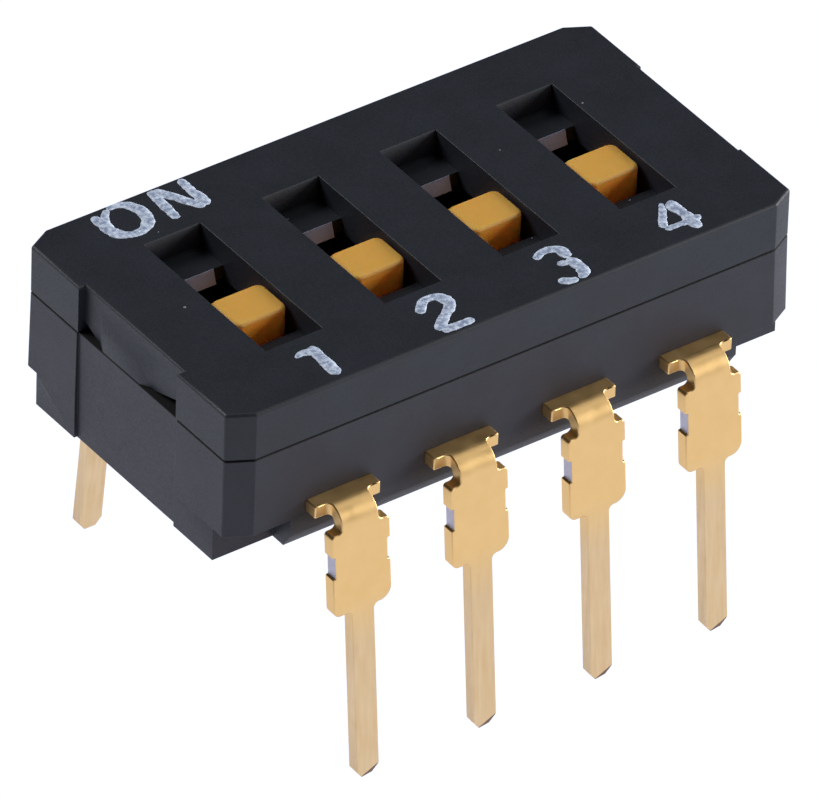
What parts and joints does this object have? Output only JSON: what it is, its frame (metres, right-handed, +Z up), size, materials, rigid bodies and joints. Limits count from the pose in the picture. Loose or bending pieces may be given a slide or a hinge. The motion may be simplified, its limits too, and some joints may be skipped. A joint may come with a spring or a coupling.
{
  "type": "slide dip switch",
  "caption": "Slide DIP switch: a low dark housing with amber knobs sliding in stepped slots, over rows of bent, splayed, gold-plated through-hole legs.",
  "frame": {"origin": "centre of the base underside", "axes": "+X along the row of poles, from the first switch to the last; +Y towards the ON side; +Z up"},
  "size_m": [0.0122, 0.0089, 0.008],
  "materials": {
    "cover_plastic": "moulded, fine matte",
    "base_plastic": "moulded, fine matte",
    "slider_plastic": "moulded, satin amber",
    "contact_gold": "gold-plated spring bronze",
    "terminal_gold": "gold-plated, stamped and bent"
  },
  "bodies": {
    "housing": {"cover": "cover_plastic", "base": "base_plastic", "front_terminal_1": "terminal_gold", "front_terminal_2": "terminal_gold", "front_terminal_3": "terminal_gold", "front_terminal_4": "terminal_gold", "rear_terminal_1": "terminal_gold", "rear_terminal_2": "terminal_gold", "rear_terminal_3": "terminal_gold", "rear_terminal_4": "terminal_gold"},
    "slide_1": {"slider_1": "slider_plastic", "moving_contact_1": "contact_gold"},
    "slide_2": {"slider_2": "slider_plastic", "moving_contact_2": "contact_gold"},
    "slide_3": {"slider_3": "slider_plastic", "moving_contact_3": "contact_gold"},
    "slide_4": {"slider_4": "slider_plastic", "moving_contact_4": "contact_gold"}
  },
  "joints": [
    {"name": "switch_1", "type": "slide", "parent": "housing", "child": "slide_1", "axis": [0, 1, 0], "range_m": [0, 0.00096]},
    {"name": "switch_2", "type": "slide", "parent": "housing", "child": "slide_2", "axis": [0, 1, 0], "range_m": [0, 0.00096]},
    {"name": "switch_3", "type": "slide", "parent": "housing", "child": "slide_3", "axis": [0, 1, 0], "range_m": [0, 0.00096]},
    {"name": "switch_4", "type": "slide", "parent": "housing", "child": "slide_4", "axis": [0, 1, 0], "range_m": [0, 0.00096]}
  ]
}
